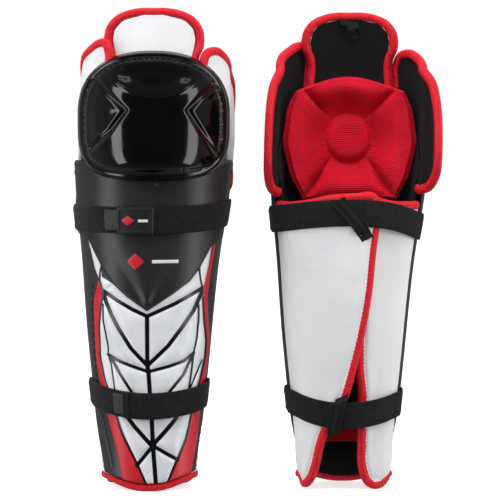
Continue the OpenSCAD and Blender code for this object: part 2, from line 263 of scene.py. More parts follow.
def tube(name, side, path, out, r_across, r_out, material, rings=16, power=2.4, stitch=0.0):
    """A rolled binding along path: out gives the way out of the cloth at each point of it.

    stitch is how deep a row of stitches, a STITCH_PITCH apart, pulls the binding in, as a share of it."""
    along = unit(np.gradient(path, axis=0))
    away = out(path) if callable(out) else out
    across = unit(np.cross(along, away))
    away = np.cross(across, along)
    g = np.arange(rings) * 2 * math.pi / rings
    c, s = np.cos(g), np.sin(g)
    wide = np.sign(c) * np.abs(c) ** (2 / power)
    tall = np.sign(s) * np.abs(s) ** (2 / power)
    run = lengths(path[None], 1)[0]
    scale = np.ones((len(path), rings))
    if stitch:
        pull = 0.5 + 0.5 * np.cos(run * 2 * math.pi / STITCH_PITCH)
        scale = scale - stitch * pull[:, None] * np.abs(s)[None] ** 2
    ends = np.ones(len(path))
    ends[0] = ends[-1] = 0.5
    scale = scale * ends[:, None]
    points = path[:, None] + scale[..., None] * (
        r_across * wide[None, :, None] * across[:, None] + r_out * tall[None, :, None] * away[:, None])
    n = len(path)
    index = np.arange(n * rings).reshape(n, rings)
    caps = []
    for row in (0, n - 1):
        r = index[row]
        for k in range(rings // 2 - 1):
            quad = [r[k], r[k + 1], r[rings - 2 - k], r[rings - 1 - k]]
            caps.append(quad if row else quad[::-1])
    faces = np.concatenate([quads(np.concatenate([index, index[:, :1]], 1)), np.array(caps)])
    round_way = np.broadcast_to(g[None] * (r_across + r_out) / 2, (n, rings))
    cloth = np.stack([np.broadcast_to(run[:, None], (n, rings)), round_way, 0 * round_way], -1)
    return build(name, side, points.reshape(-1, 3), faces, [material], cloth.reshape(-1, 3))


# ---------------------------------------------------------------- materials
class Shader:
    """A material's node tree, with short calls for the nodes that the cloths and plastics share."""

    def __init__(self, name, colour, roughness, **sockets):
        self.material = bpy.data.materials.new(name)
        self.material.use_nodes = True
        self.tree = self.material.node_tree
        self.bsdf = self.tree.nodes["Principled BSDF"]
        self.bsdf.inputs["Base Color"].default_value = (*colour, 1)
        self.bsdf.inputs["Roughness"].default_value = roughness
        for key, value in sockets.items():
            self.bsdf.inputs[key.replace("_", " ")].default_value = value
        self.material.diffuse_color = (*colour, 1)

    def node(self, kind, **inputs):
        node = self.tree.nodes.new("ShaderNode" + kind)
        for key, value in inputs.items():
            self.put(node.inputs[key.replace("_", " ")], value)
        return node

    def put(self, socket, value):
        if isinstance(value, bpy.types.NodeSocket):
            self.tree.links.new(value, socket)
        else:
            socket.default_value = value

    def math(self, operation, *values):
        node = self.node("Math")
        node.operation = operation
        for k, value in enumerate(values):
            self.put(node.inputs[k], value)
        return node.outputs[0]

    def field(self, name):
        node = self.node("Attribute")
        node.attribute_name = name
        return node

    def cloth(self):
        """The point's place on the cloth, in mm: along, across."""
        if not hasattr(self, "split"):
            self.split = self.node("SeparateXYZ", Vector=self.field("cloth").outputs["Vector"])
        return self.split.outputs["X"], self.split.outputs["Y"]

    def solid(self):
        """The point's place in space, in mm."""
        if not hasattr(self, "place"):
            spot = self.node("TexCoord").outputs["Object"]
            self.place = self.node("VectorMath")
            self.place.operation = "SCALE"
            self.put(self.place.inputs[0], spot)
            self.place.inputs["Scale"].default_value = 1000
        return self.place.outputs[0]

    def wave(self, value, pitch):
        """From 0 to 1 and back, once every pitch."""
        turned = self.math("MULTIPLY", value, 2 * math.pi / pitch)
        return self.math("MULTIPLY_ADD", self.math("SINE", turned), 0.5, 0.5)

    def noise(self, size, detail=2.0):
        """Noise from 0 to 1 with lumps about size mm across."""
        node = self.node("TexNoise", Vector=self.solid(), Scale=1 / size, Detail=detail)
        return node.outputs["Fac"]

    def ramp(self, value, low, high, to_low=0.0, to_high=1.0):
        node = self.node("MapRange", Value=value)
        for key, number in (("From Min", low), ("From Max", high), ("To Min", to_low), ("To Max", to_high)):
            self.put(node.inputs[key], number)
        return node.outputs[0]

    def share(self, key, edge):
        """Where the field called key is positive, from 0 to 1 over an edge mm each way."""
        return self.ramp(self.field(key).outputs["Fac"], -edge, edge)

    def blend(self, share, a, b):
        node = self.node("Mix")
        node.data_type = "RGBA"
        self.put(node.inputs[0], share)
        for socket, colour in ((node.inputs[6], a), (node.inputs[7], b)):
            self.put(socket, colour if isinstance(colour, bpy.types.NodeSocket) else (*colour, 1))
        return node.outputs[2]

    def colour(self, socket):
        self.put(self.bsdf.inputs["Base Color"], socket)

    def rough(self, socket):
        self.put(self.bsdf.inputs["Roughness"], socket)

    def bump(self, height, depth):
        """Height is from 0 to 1 and stands for depth mm."""
        node = self.node("Bump", Height=height)
        node.inputs["Distance"].default_value = depth * 0.001
        if hasattr(self, "last_bump"):
            self.put(node.inputs["Normal"], self.last_bump)
        self.last_bump = node.outputs[0]
        self.put(self.bsdf.inputs["Normal"], self.last_bump)


RED = (0.63, 0.008, 0.022)
WHITE = (0.80, 0.81, 0.84)
CHARCOAL = (0.022, 0.022, 0.024)
INK = (0.006, 0.006, 0.007)


def printed_shell():
    """Moulded shell with its printed panels: white cells, black lines, red flashes and a charcoal plate."""
    s = Shader("printed_shell", CHARCOAL, 0.38, Specular_IOR_Level=0.45)
    keys = ("line", "white", "red", "plate", "mark", "pale")
    is_line, is_white, is_red, is_plate, is_mark, is_pale = (s.share(key, 0.18) for key in keys)
    mottle = s.noise(9, 3)
    char = s.blend(mottle, (0.022, 0.022, 0.023), (0.040, 0.041, 0.042))
    reds = s.blend(mottle, (0.50, 0.008, 0.018), (0.72, 0.020, 0.032))
    whites = s.blend(s.ramp(s.noise(28, 2), 0.3, 0.7), (0.70, 0.72, 0.76), (0.86, 0.87, 0.89))
    base = s.blend(is_red, char, reds)
    base = s.blend(is_white, base, whites)
    base = s.blend(is_plate, base, s.blend(mottle, (0.016, 0.016, 0.017), (0.027, 0.027, 0.029)))
    base = s.blend(is_line, base, INK)
    base = s.blend(is_mark, base, (0.60, 0.010, 0.022))
    base = s.blend(is_pale, base, (0.78, 0.78, 0.80))
    s.colour(base)
    glossy = s.math("MULTIPLY", is_white, -0.14)
    s.rough(s.math("ADD", s.math("MULTIPLY_ADD", mottle, 0.10, 0.34), glossy))
    s.bump(s.noise(1.1, 2), 0.02)
    return s.material


def gloss_cap():
    """Thick glossy moulded plastic, polished but with fine flow marks and dust-sized dimples."""
    s = Shader("gloss_cap", (0.002, 0.002, 0.002), 0.09, Specular_IOR_Level=0.5)
    s.colour(s.blend(s.noise(30, 2), (0.0010, 0.0010, 0.0013), (0.0030, 0.0030, 0.0034)))
    s.rough(s.ramp(s.noise(12, 4), 0.3, 0.8, 0.06, 0.16))
    s.bump(s.noise(22, 1), 0.06)
    s.bump(s.noise(0.7, 2), 0.004)
    return s.material


def white_mesh():
    """White spacer mesh: fine open holes in diagonal rows."""
    s = Shader("white_mesh", WHITE, 0.82, Specular_IOR_Level=0.2, Sheen_Weight=0.1, Sheen_Roughness=0.5)
    along, across = s.cloth()
    one = s.wave(s.math("ADD", along, across), 2.1)
    two = s.wave(s.math("SUBTRACT", along, across), 2.1)
    hole = s.math("MULTIPLY", one, two)
    tone = s.math("MULTIPLY_ADD", s.noise(40, 2), 0.5, s.math("MULTIPLY", hole, 0.6))
    s.colour(s.blend(s.ramp(tone, 0.15, 0.95), (0.86, 0.87, 0.88), (0.66, 0.67, 0.70)))
    s.bump(s.math("SUBTRACT", 1.0, hole), 0.16)
    s.bump(s.noise(26, 2), 0.9)
    return s.material


def red_knit():
    """Brushed red knit with fine ribs across it."""
    s = Shader("red_knit", RED, 0.72, Specular_IOR_Level=0.12, Sheen_Weight=0.12,
               Sheen_Roughness=0.35, Sheen_Tint=(1.0, 0.25, 0.28, 1))
    along, across = s.cloth()
    wander = s.math("MULTIPLY_ADD", s.noise(14, 2), 1.6, across)
    rib = s.wave(wander, 2.2)
    thread = s.wave(along, 0.9)
    cloth = s.math("MULTIPLY_ADD", thread, 0.25, rib)
    tone = s.math("MULTIPLY_ADD", s.noise(35, 2), 0.6, s.math("MULTIPLY", cloth, 0.45))
    s.colour(s.blend(s.ramp(tone, 0.2, 1.0), (0.48, 0.004, 0.016), (0.88, 0.014, 0.040)))
    s.bump(cloth, 0.30)
    s.bump(s.noise(11, 3), 0.30)
    return s.material


def red_tape():
    """Shiny woven binding tape: ribs across its length and a stitched, puckered edge."""
    s = Shader("red_tape", RED, 0.48, Specular_IOR_Level=0.25, Sheen_Weight=0.12, Sheen_Roughness=0.3,
               Sheen_Tint=(1.0, 0.3, 0.3, 1))
    along, across = s.cloth()
    rib = s.wave(along, 1.0)
    pucker = s.noise(3.4, 3)
    tone = s.math("MULTIPLY_ADD", pucker, 0.7, s.math("MULTIPLY", rib, 0.35))
    s.colour(s.blend(s.ramp(tone, 0.2, 0.85), (0.50, 0.004, 0.014), (0.86, 0.018, 0.034)))
    s.rough(s.ramp(s.noise(6, 2), 0.2, 0.8, 0.40, 0.62))
    s.bump(rib, 0.10)
    s.bump(s.wave(across, 2.6), 0.10)
    s.bump(pucker, 0.30)
    return s.material


def black_webbing():
    """Elastic webbing: tight ribs along the strap, crossed by fine weft, with thin selvedges."""
    s = Shader("black_webbing", (0.012, 0.012, 0.013), 0.78, Specular_IOR_Level=0.15, Sheen_Weight=0.05,
               Sheen_Roughness=0.4)
    along, across = s.cloth()
    warp, weft = s.wave(across, 1.15), s.wave(along, 1.6)
    weave = s.math("MAXIMUM", s.math("MULTIPLY", warp, 0.9), s.math("MULTIPLY", weft, 0.8))
    tone = s.math("MULTIPLY_ADD", s.noise(5, 3), 0.7, s.math("MULTIPLY", weave, 0.5))
    s.colour(s.blend(s.ramp(tone, 0.25, 1.0), (0.005, 0.005, 0.0055), (0.021, 0.021, 0.022)))
    s.bump(weave, 0.22)
    s.bump(s.noise(7, 2), 0.25)
    return s.material


def loop_pile():
    """Fuzzy loop tape, matted in places."""
    s = Shader("loop_pile", (0.008, 0.008, 0.009), 0.95, Specular_IOR_Level=0.1, Sheen_Weight=0.10,
               Sheen_Roughness=0.6)
    lumps, fuzz = s.noise(2.2, 4), s.noise(0.5, 3)
    s.colour(s.blend(s.ramp(lumps, 0.35, 0.75), (0.001, 0.001, 0.001), (0.020, 0.019, 0.020)))
    s.bump(lumps, 0.9)
    s.bump(fuzz, 0.35)
    return s.material


def hook_moulding():
    """Hook tape's smooth back with its square moulded grid."""
    s = Shader("hook_moulding", (0.03, 0.03, 0.032), 0.6)
    along, across = s.cloth()
    cells = s.math("MULTIPLY", s.wave(along, 1.5), s.wave(across, 1.5))
    s.colour(s.blend(s.ramp(s.noise(2.5, 3), 0.3, 0.7), (0.020, 0.020, 0.022), (0.048, 0.048, 0.050)))
    s.bump(cells, 0.18)
    return s.material


def moulded_badge():
    """Rubber badge with a satin face and a raised lozenge and a pale bar."""
    s = Shader("moulded_badge", (0.012, 0.012, 0.013), 0.42)
    base = s.blend(s.noise(4, 3), (0.008, 0.008, 0.009), (0.022, 0.022, 0.024))
    base = s.blend(s.share("mark", 0.15), base, (0.62, 0.012, 0.026))
    s.colour(s.blend(s.share("pale", 0.15), base, (0.80, 0.80, 0.82)))
    s.rough(s.ramp(s.noise(3, 2), 0.2, 0.8, 0.34, 0.52))
    s.bump(s.noise(0.8, 2), 0.03)
    return s.material


def black_lining():
    """Black mesh lining with fine rows of holes."""
    s = Shader("black_lining", (0.008, 0.008, 0.009), 0.88, Specular_IOR_Level=0.12, Sheen_Weight=0.03,
               Sheen_Roughness=0.5)
    along, across = s.cloth()
    row = s.wave(across, 2.0)
    hole = s.math("MULTIPLY", row, s.wave(s.math("MULTIPLY_ADD", across, 0.5, along), 1.7))
    s.colour(s.blend(s.ramp(hole, 0.1, 0.8), (0.014, 0.014, 0.015), (0.002, 0.002, 0.002)))
    s.bump(s.math("SUBTRACT", 1.0, hole), 0.22)
    s.bump(s.noise(18, 2), 0.8)
    return s.material


def foam_skin():
    """Closed-cell foam: a fine pitted skin."""
    s = Shader("foam_skin", (0.03, 0.03, 0.032), 0.9)
    pits = s.node("TexVoronoi", Vector=s.solid(), Scale=0.9).outputs["Distance"]
    s.colour(s.blend(s.ramp(pits, 0.1, 0.7), (0.018, 0.018, 0.02), (0.045, 0.045, 0.048)))
    s.bump(pits, 0.25)
    return s.material


def rivet_metal():
    """Blackened rivets, brighter in rubbed patches here and there."""
    s = Shader("rivet_black", (0.05, 0.05, 0.055), 0.35, Metallic=0.6)
    s.colour(s.blend(s.ramp(s.noise(1.6, 3), 0.4, 0.7), (0.03, 0.03, 0.032), (0.11, 0.11, 0.115)))
    s.bump(s.noise(1.2, 3), 0.04)
    return s.material


MAT = {
    "shell": printed_shell(), "cap": gloss_cap(), "white": white_mesh(), "knit": red_knit(),
    "tape": red_tape(), "webbing": black_webbing(), "loop": loop_pile(), "hook": hook_moulding(),
    "badge": moulded_badge(), "lining": black_lining(), "foam": foam_skin(), "rivet": rivet_metal(),
}


# ---------------------------------------------------------------- the printed shell
# Outlines of the printing, seen from straight in front: across, then height. Both guards carry the same.
PLATE = ((-90, 350), (-90, 262), (-59, 251), (-46, 226), (-33, 207), (-20, 195), (0, 181), (26, 198),
         (42, 210), (52, 224), (63, 244), (90, 262), (90, 350))
RED_LEFT = ((-48, 210), (-53, 190), (-53, 160), (-52, 132), (-48, 112), (-42, 84), (-35, 58), (-29, 34),
            (-23, 4), (-1, 4), (-11, 27), (-25, 56), (-28, 64), (-34, 84), (-44, 113), (-48, 133),
            (-48, 165), (-46, 186), (-43, 200))
RED_RIGHT = ((66, 244), (62, 222), (60, 209), (58, 193), (59, 163), (61, 149), (60, 134), (57, 115),
             (51, 86), (48, 53), (44, 30), (39, 4), (18, 4), (28, 29), (38, 52), (41, 64), (44, 80),
             (52, 115), (56, 134), (57, 149), (55, 163), (54, 193), (56, 209), (60, 222), (65, 244))
WHITE_MAIN = ((-42, 199), (-33, 207), (-20, 195), (0, 181), (42, 210), (50, 220), (52, 205), (53, 195),
              (54, 172), (56, 149), (55, 134), (51, 115), (43, 80), (40, 64), (37, 52), (27, 29), (17, 4),
              (0, 4), (-10, 27), (-24, 56), (-27, 64), (-33, 84), (-43, 113), (-47, 133), (-47, 165),
              (-45, 186))
WHITE_SLIVERS = (
    ((-59, 251), (-46, 226), (-45, 214), (-33, 207), (-43, 198), (-47, 210), (-52, 222), (-55, 235)),
    ((63, 244), (60, 226), (56, 209), (53, 199), (52, 211), (52, 224)),
)
SPINE = ((0, 176), (0, 128), (1, 121), (4, 74), (5, 47), (8, 4))
# Black lines: their half width, then the points each one passes through
LINES = (
    (1.7, SPINE),
    (0.7, ((-45, 226), (-47, 217), (-47, 210), (-43, 199))),
    (0.7, ((51, 221), (52, 211), (54, 202), (52, 195))),
    (1.5, ((-43, 200), (-29, 191), (-15, 183), (0, 176), (27, 188), (44, 197), (53, 202))),
    (1.6, ((-43, 198), (-41, 190), (-35, 176), (-28, 163), (-16, 144), (0, 127))),
    (1.6, ((53, 198), (45, 180), (33, 163), (20, 146), (0, 127))),
    (0.7, ((-44, 187), (-44, 171), (-39, 145), (-39, 137), (-36, 127), (-33, 104), (-30, 84))),
    (0.8, ((50, 186), (50, 172), (48, 152), (45, 138), (43, 121), (40, 100), (38, 84))),
    (1.3, ((-39, 137), (-30, 132), (-17, 127), (1, 121), (21, 126), (36, 131), (45, 138))),
    (1.2, ((-36, 134), (-27, 118), (-16, 101), (-4, 84), (4, 74))),
    (1.2, ((43, 134), (35, 117), (21, 100), (10, 84), (4, 74))),
    (0.6, ((53, 130), (42, 104), (36, 90))),
    (1.7, ((-23, 79), (-13, 66), (2, 49), (5, 47), (6, 49), (17, 61), (28, 74))),
    (1.5, ((-11, 27), (5, 47), (29, 32))),
    (0.9, ((-33, 84), (-27, 64), (-24, 56), (-10, 27), (0, 4))),
    (0.9, ((43, 80), (40, 64), (37, 52), (27, 29), (17, 4))),
    (0.6, ((-43, 199), (-46, 186), (-48, 165), (-47, 133), (-43, 113), (-36, 92))),
    (0.6, ((54, 193), (55, 170), (57, 149), (56, 134), (52, 115), (46, 92))),
)
INK_WEIGHT = 1.3
STITCHES = (((-55, 205), (-55, 170), (-53, 132), (-50, 97), (-43, 58), (-35, 22)),
            ((62, 205), (63, 170), (62, 132), (58, 97), (52, 58), (46, 22)))
# The angle that the shell reaches round to above ANKLE_TOP, and the smaller one on each side at the floor
SHELL_REACH, INNER_ANKLE, OUTER_ANKLE, ANKLE_TOP = 95, 60, 66, 112


def to_line(x, z, path):
    """Distance from each (x, z) to a line of straight pieces."""
    best = np.full(np.shape(x), 1e6)
    for (x0, z0), (x1, z1) in zip(path[:-1], path[1:]):
        dx, dz = x1 - x0, z1 - z0
        t = np.clip(((x - x0) * dx + (z - z0) * dz) / (dx * dx + dz * dz), 0, 1)
        best = np.minimum(best, np.hypot(x - x0 - t * dx, z - z0 - t * dz))
    return best


def inside(x, z, outline):
    """Signed distance to a closed outline, positive inside it."""
    far = to_line(x, z, (*outline, outline[0]))
    within = np.zeros(np.shape(x), bool)
    for (x0, z0), (x1, z1) in zip(outline, (*outline[1:], outline[0])):
        if z0 != z1:
            crosses = ((z0 > z) != (z1 > z)) & (x < x0 + (z - z0) * (x1 - x0) / (z1 - z0))
            within ^= crosses
    return np.where(within, far, -far)


def dashes(path, length, pitch):
    """Short pieces of a line, a pitch apart."""
    points = resample([(x, 0, z) for x, z in path], 0.5)[:, [0, 2]]
    return [points[k:k + int(length * 2)] for k in range(0, len(points) - int(length * 2), int(pitch * 2))]


def shell_top(angle):
    return SHELL_H - 10 + 10 * smooth((np.abs(angle) - 30) / 40)


def shin_grid(angle, nu, nv, bottom, top):
    u, v = grid(nu, nv)
    g = mix(-angle, angle, u)
    return g, mix(bottom(g), top(g), v)


def plate_mark(x, z):
    """A plain mark on the plate: a red lozenge and one pale bar."""
    lozenge = ((-18, 230), (-10, 238), (-2, 230), (-10, 222))
    bar = ((5, 231.6), (30, 231.6), (30, 228.4), (5, 228.4))
    return inside(x, z, lozenge), inside(x, z, bar)


def printed_fields(g, z, surface):
    """The printing's fields over the shell, and how far its relief stands out."""
    across = np.where(np.abs(g) < 80, surface[..., 0], np.sign(g) * 90)
    ink = np.full(g.shape, -9.0)
    for half, path in LINES:
        ink = np.maximum(ink, INK_WEIGHT * half - to_line(across, z, path))
    stitch = np.full(g.shape, -9.0)
    for path in STITCHES:
        for dash in dashes(path, 4.5, 8):
            stitch = np.maximum(stitch, 1.0 - to_line(across, z, [tuple(p) for p in dash[::4]]))
    white = inside(across, z, WHITE_MAIN)
    for outline in WHITE_SLIVERS:
        white = np.maximum(white, inside(across, z, outline))
    red = np.maximum(inside(across, z, RED_LEFT), inside(across, z, RED_RIGHT)) + 0.6
    plate = inside(across, z, PLATE)
    mark, pale = plate_mark(across, z)
    ink = np.minimum(ink, 0.3 - plate)
    cell = smooth(np.minimum(-ink, white) / 2.5)
    pillow = smooth(np.minimum(-ink, white) / 11)
    under_cap = smooth((z - 284) / 16)
    relief = 0.9 * cell + 1.0 * pillow + 2.2 * smooth((plate + 0.5) / 2.4) * (1 - 0.95 * under_cap)
    relief = relief + 0.5 * smooth(red / 1.5) * (white < 0) - 0.7 * smooth((stitch + 0.6) / 0.8)
    ridge = np.abs(across) / np.maximum(8, (z - 181) * 0.62)
    relief = relief + 3.2 * smooth(1 - ridge) * smooth((plate + 1) / 12) * smooth((262 - z) / 40)
    relief = relief + 0.6 * smooth((np.maximum(mark, pale) + 0.2) / 0.8)
    line = np.maximum(ink, stitch)
    return {"line": line, "white": white, "red": red, "plate": plate, "mark": mark, "pale": pale}, relief


def shell_edge(z, way):
    """The angle that the shell reaches round to: it draws in towards the ankle."""
    low = INNER_ANKLE if way < 0 else OUTER_ANKLE
    return mix(low, SHELL_REACH, smooth(z / ANKLE_TOP))


def make_shell(side):
    u, v = grid(210, 262)
    rough_z = mix(14, SHELL_H, v)
    g = mix(-shell_edge(rough_z, -1), shell_edge(rough_z, 1), u)
    z = mix(rim(g) + 2 * BINDING_R + 1, shell_top(g), v)
    base = leg(g, z, 0.0)
    fields, relief = printed_fields(g, z, base)
    sides = np.minimum(shell_edge(z, 1) - g, g + shell_edge(z, -1)) * 1.1
    edge = np.minimum(np.minimum(shell_top(g) - z, z - rim(g) - 2 * BINDING_R - 1), sides)
    relief = relief * smooth(edge / 5) - 0.8 * (1 - smooth(edge / 1.6))
    bead = 0.9 * smooth(1 - np.abs(edge - 3.4) / 2.0) * smooth((np.abs(g) - 50) / 20)
    shell = sheet("printed_shell", side, leg(g, z, relief + bead), leg(g, z, -SHELL_T + 0 * g),
                  [MAT["shell"]], fields, 0.3)
    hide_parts(f"{side}_shin_shell")
    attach(shell, f"{side}_guard")


def make_gusset(side):
    """Lining that closes the gap between the shin and the knee."""
    u, v = grid(120, 40)
    g = mix(-94, 94, u)
    z = mix(281, mix(352, 324, smooth((np.abs(g) - 67) / 28)), v)
    fold = 0.8 * np.sin(v * math.pi * 3)
    cloth = sheet("knee_gusset", side, leg(g, z, -8.3 + fold), leg(g, z, -9.5 + fold), [MAT["lining"]],
                  round_edge=0.4)
    spot([3, 0, 288], side)
    spot([3, 0, 318], side)
    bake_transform(cloth)


def make_padding(side):
    guard = f"{side}_guard"
    g, z = shin_grid(90, 60, 80, lambda g: rim(g) + 2 * BINDING_R + 4, lambda g: CALF_H - 2 + 0 * g)
    foam = sheet("foam_layer", side, leg(g, z, -SHELL_T - 0.6), leg(g, z, LINER_OUT + 0.5), [MAT["foam"]],
                 round_edge=1.0)
    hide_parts(f"{side}_shin_foam")
    g, z = shin_grid(94, 90, 120, lambda g: rim(g) + 2 * BINDING_R - 1, lambda g: CALF_H - 1 + 0 * g)
    quilt = 0.9 * (1 - smooth(np.abs(((g + 200) % 32) - 16) / 4))
    liner = sheet("padded_liner", side, leg(g, z, LINER_OUT), leg(g, z, LINER_OUT - LINER_T + quilt),
                  [MAT["lining"]], round_edge=1.2)
    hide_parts(f"{side}_shin_liner")
    u, v = grid(70, 20)
    g, z = mix(-62, 62, u), mix(42, 70, v)
    out = LINER_OUT - LINER_T - 0.3
    bulge = 1.2 * np.sin(math.pi * v) ** 0.6
    band = sheet("ankle_pad", side, leg(g, z, out), leg(g, z, out - 1.8 - bulge), [MAT["knit"]],
                 round_edge=0.6)
    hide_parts(f"{side}_ankle_band")
    for piece in (foam, liner, band):
        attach(piece, guard)


def from_axis(path):
    return unit(np.stack([path[:, 0] - lean(path[:, 2]), path[:, 1], 0 * path[:, 0]], -1))


def make_rim(side):
    g = np.arange(-93, 94, 1.0)
    path = leg(g, rim(g) + BINDING_R + 0.3, LINER_OUT + 2.4)
    rim_tape = tube("bottom_binding", side, path, from_axis, BINDING_R, 5.4, MAT["tape"], stitch=0.07)
    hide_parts(f"{side}_rim_binding")
    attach(rim_tape, f"{side}_guard")


# ---------------------------------------------------------------- the knee
KNEE_X = float(lean(CAP_Z))
CHEVRONS = (((-60, 412), (-42, 393), (-25, 377), (-40, 358), (-60, 340)),
            ((62, 404), (47, 390), (35, 377), (47, 358), (62, 336)))
SMILE = ((-44, 412), (-30, 401), (-10, 391), (6, 389), (22, 392), (38, 401), (50, 411))


def cap_width(v):
    power = np.where(v > 0, 2.35, 3.6)
    return CAP_HALF_W * np.maximum(1e-6, 1 - np.abs(v) ** power) ** (1 / power)


def cap_depth(x, v, side):
    """How far the cap's outside stands in front of the leg's axis."""
    curve = np.maximum(0, 1 - (x / (CAP_HALF_W + 5)) ** 2) ** 0.8
    fall = np.where(v > 0, 1 - np.abs(v) ** 3, 1 - np.abs(v) ** 4.5)
    return mix(30, mix(79, 67, (v + 1) / 2), curve) + CAP_DOME * (1 - np.abs(side) ** 3) * fall


def cap_outline():
    v = np.sin(np.linspace(-math.pi / 2, math.pi / 2, 70)) * 0.9995
    right = [(float(cap_width(k)), CAP_Z + CAP_HALF_H * k) for k in v]
    return tuple(right + [(-x, z) for x, z in reversed(right)])


def make_cap(side):
    u, w = grid(200, 190)
    high = 0.9995 * np.sin(math.pi * (w - 0.5))
    x = cap_width(high) * (2 * u - 1)
    z = CAP_Z + CAP_HALF_H * high
    edge = inside(x, z, cap_outline())
    deep = cap_depth(x, high, 2 * u - 1)
    above = inside(x, z, (*SMILE, (50, 450), (-44, 450)))
    scoop = -3.6 * smooth((above + 1.0) / 15) * smooth((edge - 7) / 16)
    lip = 1.0 * np.exp(-((above + 1.5) / 1.5) ** 2) * smooth((50 - np.abs(x - 2)) / 16)
    grooves = np.zeros_like(x)
    for path in CHEVRONS:
        d = to_line(x, z, path)
        grooves -= 3.0 * (1 - smooth(d / 4.0)) * smooth((edge - 4) / 8)
        beyond = inside(x, z, (*path, (np.sign(path[0][0]) * 90, 340), (np.sign(path[0][0]) * 90, 412)))
        grooves -= 1.2 * smooth(beyond / 9) * smooth((edge - 8) / 6)
    flange = -2.0 * (1 - smooth((edge - 7.0) / 3.5)) + 2.2 * np.exp(-((edge - 3.0) / 1.9) ** 2)
    bow = lookup(z, ((308, 1), (325, 0), (440, 0)))
    lower = inside(x, z, ((-72, 345), (-66, 330), (-48, 321), (0, 318), (48, 321), (66, 330), (72, 345)))
    flange -= 1.2 * np.exp(-(lower / 1.6) ** 2) * (z < 336) * smooth((edge - 4) / 4) * (1 - 0.3 * bow)
    beat = np.cos(np.arctan2(x, z - CAP_Z) * 62 * 2 * math.pi / 6.2)
    holes = (beat > 0.35) & (np.abs(edge - 8.3) < 1.0) & (z > 336)
    shape = scoop + lip + grooves + flange - 1.4 * holes * smooth((beat - 0.3) / 0.3)
    rolled = 1.6 * (1 - smooth(edge / 2.2))
    out = np.stack([KNEE_X + x, -(deep + shape - rolled), z], -1)
    inside_deep = deep - 4.2 + 0.5 * np.minimum(shape, 0) * smooth((edge - 4) / 6)
    back = np.stack([KNEE_X + x * 0.97, -inside_deep, z], -1)
    cap = sheet("domed_cap", side, out, back, [MAT["cap"]], round_edge=0.4)
    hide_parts(f"{side}_knee_cap")
    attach(cap, f"{side}_knee")
    u, v = grid(60, 60)
    high = mix(-0.6, 0.84, v)
    x = 0.64 * CAP_HALF_W * (2 * u - 1) * np.sqrt(1 - 0.55 * np.maximum(0, high) ** 2)
    deep = cap_depth(x, high, x / cap_width(high))
    z = CAP_Z + CAP_HALF_H * high
    foam = sheet("knee_foam_block", side, np.stack([KNEE_X + x, 11 - deep, z], -1),
                 np.stack([KNEE_X + x, 19 - deep, z], -1), [MAT["foam"]], round_edge=1.5)
    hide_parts(f"{side}_knee_foam")
    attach(foam, f"{side}_knee")


BUTTON_Z, BUTTON_R = 350, 24
SEAMS = [((sx * 15, BUTTON_Z + 16), (sx * 46, 398)) for sx in (-1, 1)]
SEAMS += [((sx * 15, BUTTON_Z - 16), (sx * 49, 286)) for sx in (-1, 1)]


def pad_base(x, z):
    """The front face of the knee pad."""
    half = lookup(z, PAD_W)
    return mix(10, lookup(z, PAD_DEPTH), np.maximum(0, 1 - (x / (half + 4)) ** 2) ** 0.6)


def make_pad(side):
    u, v = grid(170, 160)
    s = 2 * u - 1
    z = mix(289, 412 - 15 * s**2, v)
    x = (lookup(z, PAD_W) + 1) * s
    r = np.hypot(x, (z - BUTTON_Z) * 0.96)
    seam = np.full_like(x, 99.0)
    for path in SEAMS:
        seam = np.minimum(seam, to_line(x, z, path))
    crease = to_line(x, z, ((-4, 409), (-3, 388)))
    edge = np.minimum((1 - np.abs(s)) * lookup(z, PAD_W), np.minimum(v, 1 - v) * 118)
    lobe = 1 - np.exp(-seam / 4.5)
    bowl = 0.12 + 0.88 * smooth((r - BUTTON_R + 2) / 32)
    ring = 1 - np.exp(-np.abs(r - BUTTON_R) / 2.2)
    drop = np.abs(z - BUTTON_Z) - 16
    seam_x = 15 + np.where(z > BUTTON_Z, 0.97, 0.7) * drop
    side_lobe = smooth((np.abs(x) - seam_x) / 7)
    thick = 5 + (13 + 5 * side_lobe) * lobe * bowl * ring
    thick = np.where(r > BUTTON_R, thick, 5 + 8.0 * ring * (1 - 0.35 * (r / BUTTON_R) ** 4))
    thick = thick - 1.6 * (1 - smooth(crease / 4)) * smooth((r - 34) / 8)
    piping = 1.6 * np.exp(-((edge - 2.0) / 1.4) ** 2)
    inward = np.clip((edge - 1) / 20, 0, 1)
    thick = mix(4.5, thick, np.sqrt(1 - (1 - inward) ** 2)) + piping
    wave = 0.5 * np.sin(x / 9 + z / 23) * np.sin(z / 11) * smooth(edge / 12)
    base = pad_base(x, z)
    front = np.stack([KNEE_X + x, -base, z], -1)
    back = np.stack([KNEE_X + x * (1 - thick / 260), -base + thick + wave, z], -1)
    pad = sheet("lobed_pad", side, back, front, [MAT["knit"]], round_edge=1.4)
    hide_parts(f"{side}_knee_pad", f"{side}_knee_pad_button")
    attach(pad, f"{side}_knee")


def wing_point(angle, z, t):
    p = leg(angle, z, WING_OUT - t)
    g = np.radians(angle) + 0 * np.asarray(z, float)
    p[..., 1] = np.where(np.cos(g) > 0, -(71 - t) * np.cos(g), p[..., 1])
    return p


def mirrored(p, way):
    q = np.array(p, float)
    q[..., 0] = lean(q[..., 2]) + way * (q[..., 0] - lean(q[..., 2]))
    return q


WING_HINGE_X = (np.interp(345, *zip(*HALF_W)) + WING_OUT) * math.sin(math.radians(HINGE))
WING_HINGE_Y = 7.2


def wing_hinge(z, way):
    """A point on the line that a wing turns about."""
    return np.array([float(lean(z)) + way * WING_HINGE_X, WING_HINGE_Y, z])


def turned(points, low, axis, degrees):
    """Points turned about a line, each by its own angle."""
    k = unit(axis)
    a = np.radians(degrees)[..., None]
    p = points - low
    along = (p @ k)[..., None] * k
    return low + p * np.cos(a) + np.cross(k, p) * np.sin(a) + along * (1 - np.cos(a))


